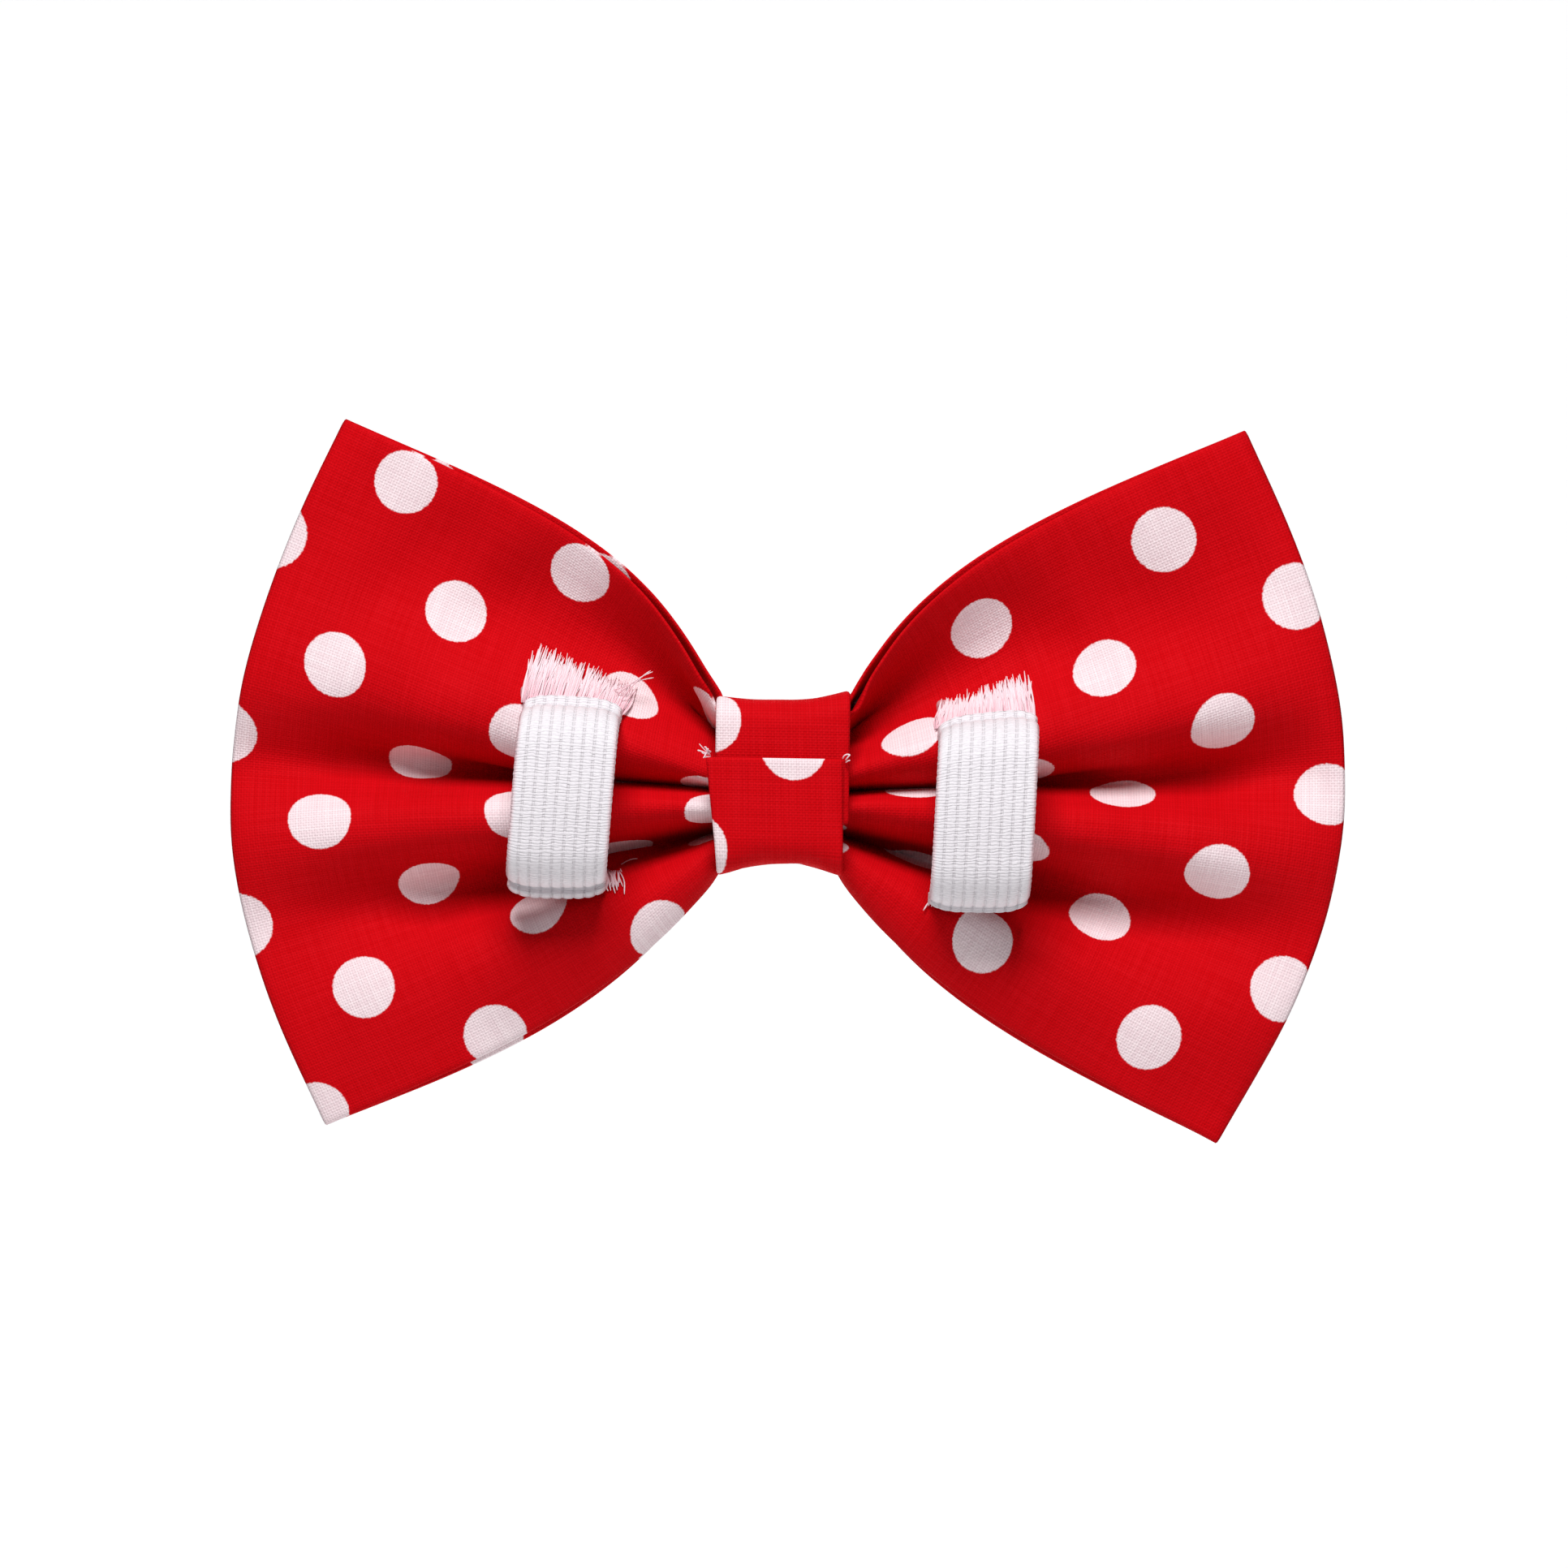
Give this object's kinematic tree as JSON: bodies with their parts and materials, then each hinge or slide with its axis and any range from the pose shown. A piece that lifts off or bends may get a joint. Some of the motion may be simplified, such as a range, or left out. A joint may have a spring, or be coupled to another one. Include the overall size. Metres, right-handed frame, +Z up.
{
  "type": "bow tie",
  "caption": "Slide-on bow tie in spotted cotton: pleated wings gathered by a knot strip, with elastic loops behind for a pet's collar.",
  "frame": {"origin": "middle of the knot's flat back face, where the collar lies", "axes": "+Z up as worn, -Y out of the bow's front, +Y out of its back towards the collar, +X towards the wearer's left"},
  "size_m": [0.112, 0.0196, 0.0728],
  "materials": {
    "bow_cloth": "plain-weave cotton, red with white spots",
    "knot_cloth": "plain-weave cotton, red with white spots",
    "elastic": "white ribbed flat elastic",
    "stiffener": "white non-woven interlining",
    "thread": "white sewing thread",
    "glue": "cloudy hot-melt glue"
  },
  "bodies": {
    "knot": {"knot_band": "knot_cloth", "knot_glue": "glue", "gather_thread": "thread", "waist_front_cloth": "bow_cloth", "waist_back_cloth": "bow_cloth"},
    "left_wing": {"left_front_cloth": "bow_cloth", "left_stiffener": "stiffener", "left_back_cloth": "bow_cloth", "left_elastic_end_top": "elastic", "left_elastic_end_bottom": "elastic", "left_glue_top": "glue", "left_glue_bottom": "glue"},
    "right_wing": {"right_front_cloth": "bow_cloth", "right_stiffener": "stiffener", "right_back_cloth": "bow_cloth", "right_elastic_end_top": "elastic", "right_elastic_end_bottom": "elastic", "right_glue_top": "glue", "right_glue_bottom": "glue"},
    "left_loop": {"left_elastic_loop": "elastic"},
    "right_loop": {"right_elastic_loop": "elastic"}
  },
  "joints": [
    {"name": "left_wing_bend", "type": "hinge", "parent": "knot", "child": "left_wing", "pos_m": [0.0102, -0.00775, 0], "axis": [0, 0, 1], "range_deg": [-20, 20], "stiffness_Nm_per_rad": 0.004},
    {"name": "right_wing_bend", "type": "hinge", "parent": "knot", "child": "right_wing", "pos_m": [-0.0102, -0.00775, 0], "axis": [0, 0, -1], "range_deg": [-20, 20], "stiffness_Nm_per_rad": 0.004},
    {"name": "left_loop_stretch", "type": "slide", "parent": "left_wing", "child": "left_loop", "axis": [0, 1, 0], "range_m": [0, 0.004], "stiffness_N_per_m": 15},
    {"name": "right_loop_stretch", "type": "slide", "parent": "right_wing", "child": "right_loop", "axis": [0, 1, 0], "range_m": [0, 0.004], "stiffness_N_per_m": 15}
  ]
}
